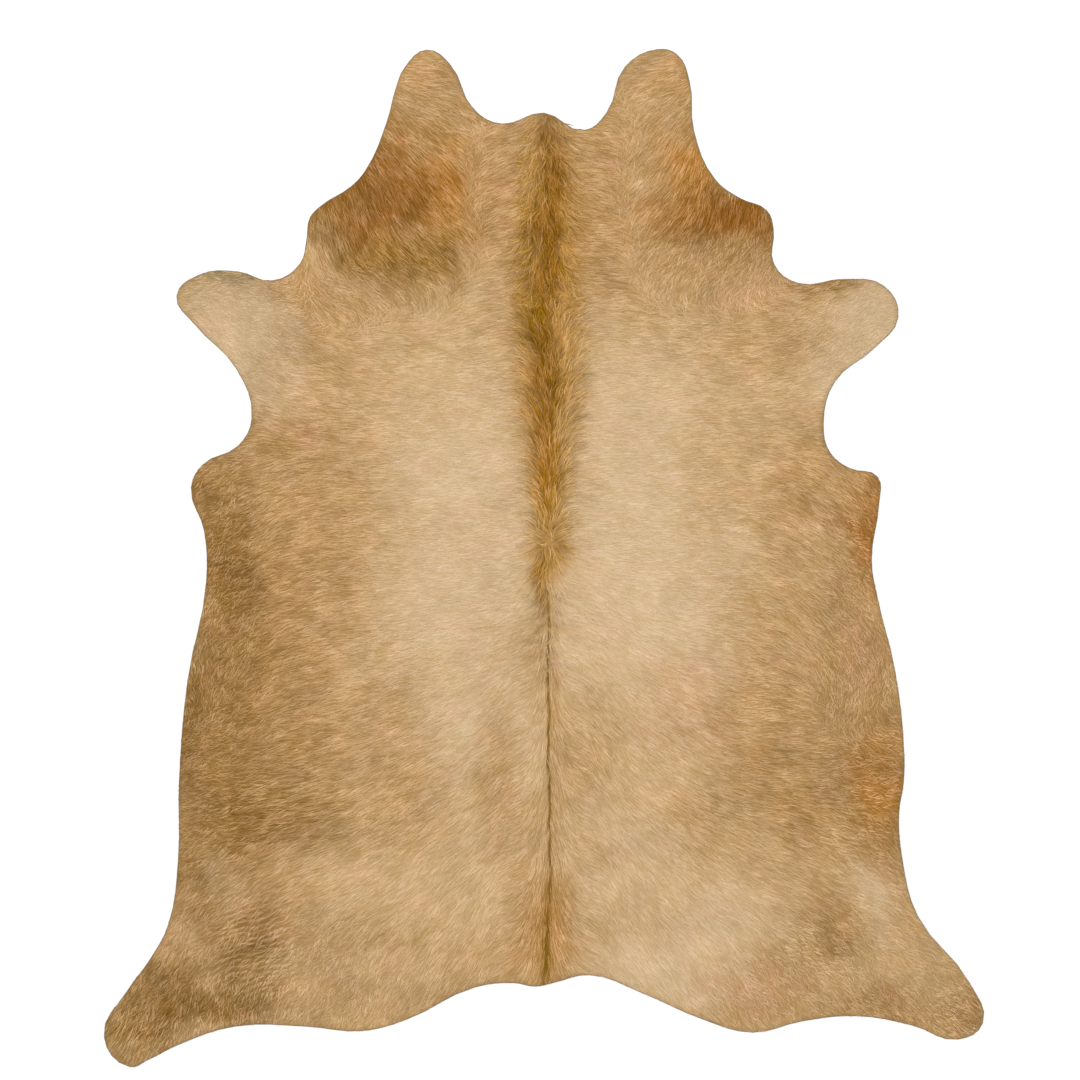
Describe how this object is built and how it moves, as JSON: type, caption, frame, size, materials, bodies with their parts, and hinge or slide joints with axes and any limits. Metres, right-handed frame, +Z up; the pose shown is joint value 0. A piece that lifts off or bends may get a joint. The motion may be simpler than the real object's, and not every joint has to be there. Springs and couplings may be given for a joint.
{
  "type": "cowhide rug",
  "caption": "Whole cowhide with its hair on, cut to a smooth outline of cheeks, forelegs, belly and hind legs, laid flat coat up, with mane, whorl and parting.",
  "frame": {"origin": "on the floor, under the middle of the hide's length and width", "axes": "+Z up from the floor through the coat, +Y from the tail to the neck along the spine, +X to the right seen from above with the neck at the top"},
  "size_m": [1.76, 2.036, 0.0118],
  "materials": {
    "hide": "short tan cowhair lying flat, caramel on the mane and cheeks; matt suede underside"
  },
  "bodies": {
    "root": {"hide": "hide"}
  },
  "joints": []
}
